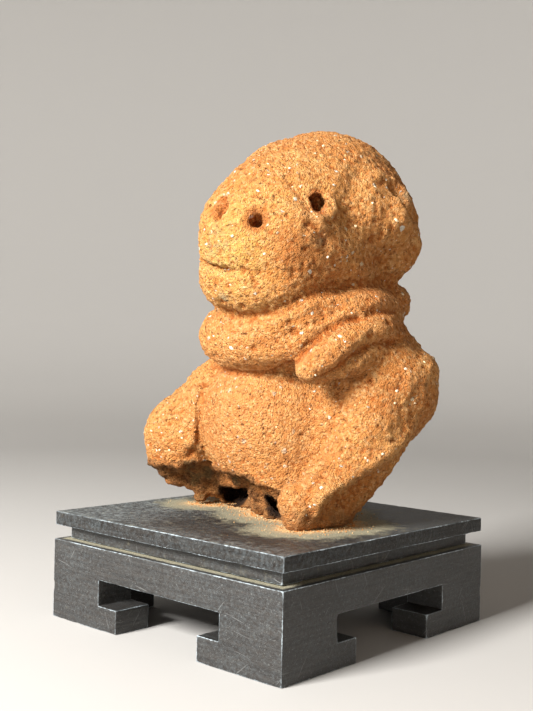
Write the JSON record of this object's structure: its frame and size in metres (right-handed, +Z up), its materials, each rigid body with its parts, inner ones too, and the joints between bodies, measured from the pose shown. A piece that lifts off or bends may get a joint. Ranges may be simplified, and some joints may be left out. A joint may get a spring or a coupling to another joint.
{
  "type": "terracotta half-figure on a wooden display stand",
  "caption": "Weathered terracotta half-figure with a monkey-like head, broken below, resting on a low black wooden stand with hooked feet.",
  "frame": {"origin": "middle of the stand's underside, on the surface it stands on", "axes": "+Z up, -Y is the side that the figure faces, +X is the figure's left"},
  "size_m": [0.15, 0.15, 0.2399],
  "materials": {
    "terracotta": "coarse, gritty, unglazed, weathered",
    "black_wood": "black stain, worn and dusty"
  },
  "bodies": {
    "root": {"figure": "terracotta", "stand_top": "black_wood", "stand_waist": "black_wood", "stand_apron_front": "black_wood", "stand_apron_right": "black_wood", "stand_apron_back": "black_wood", "stand_apron_left": "black_wood"}
  },
  "joints": []
}
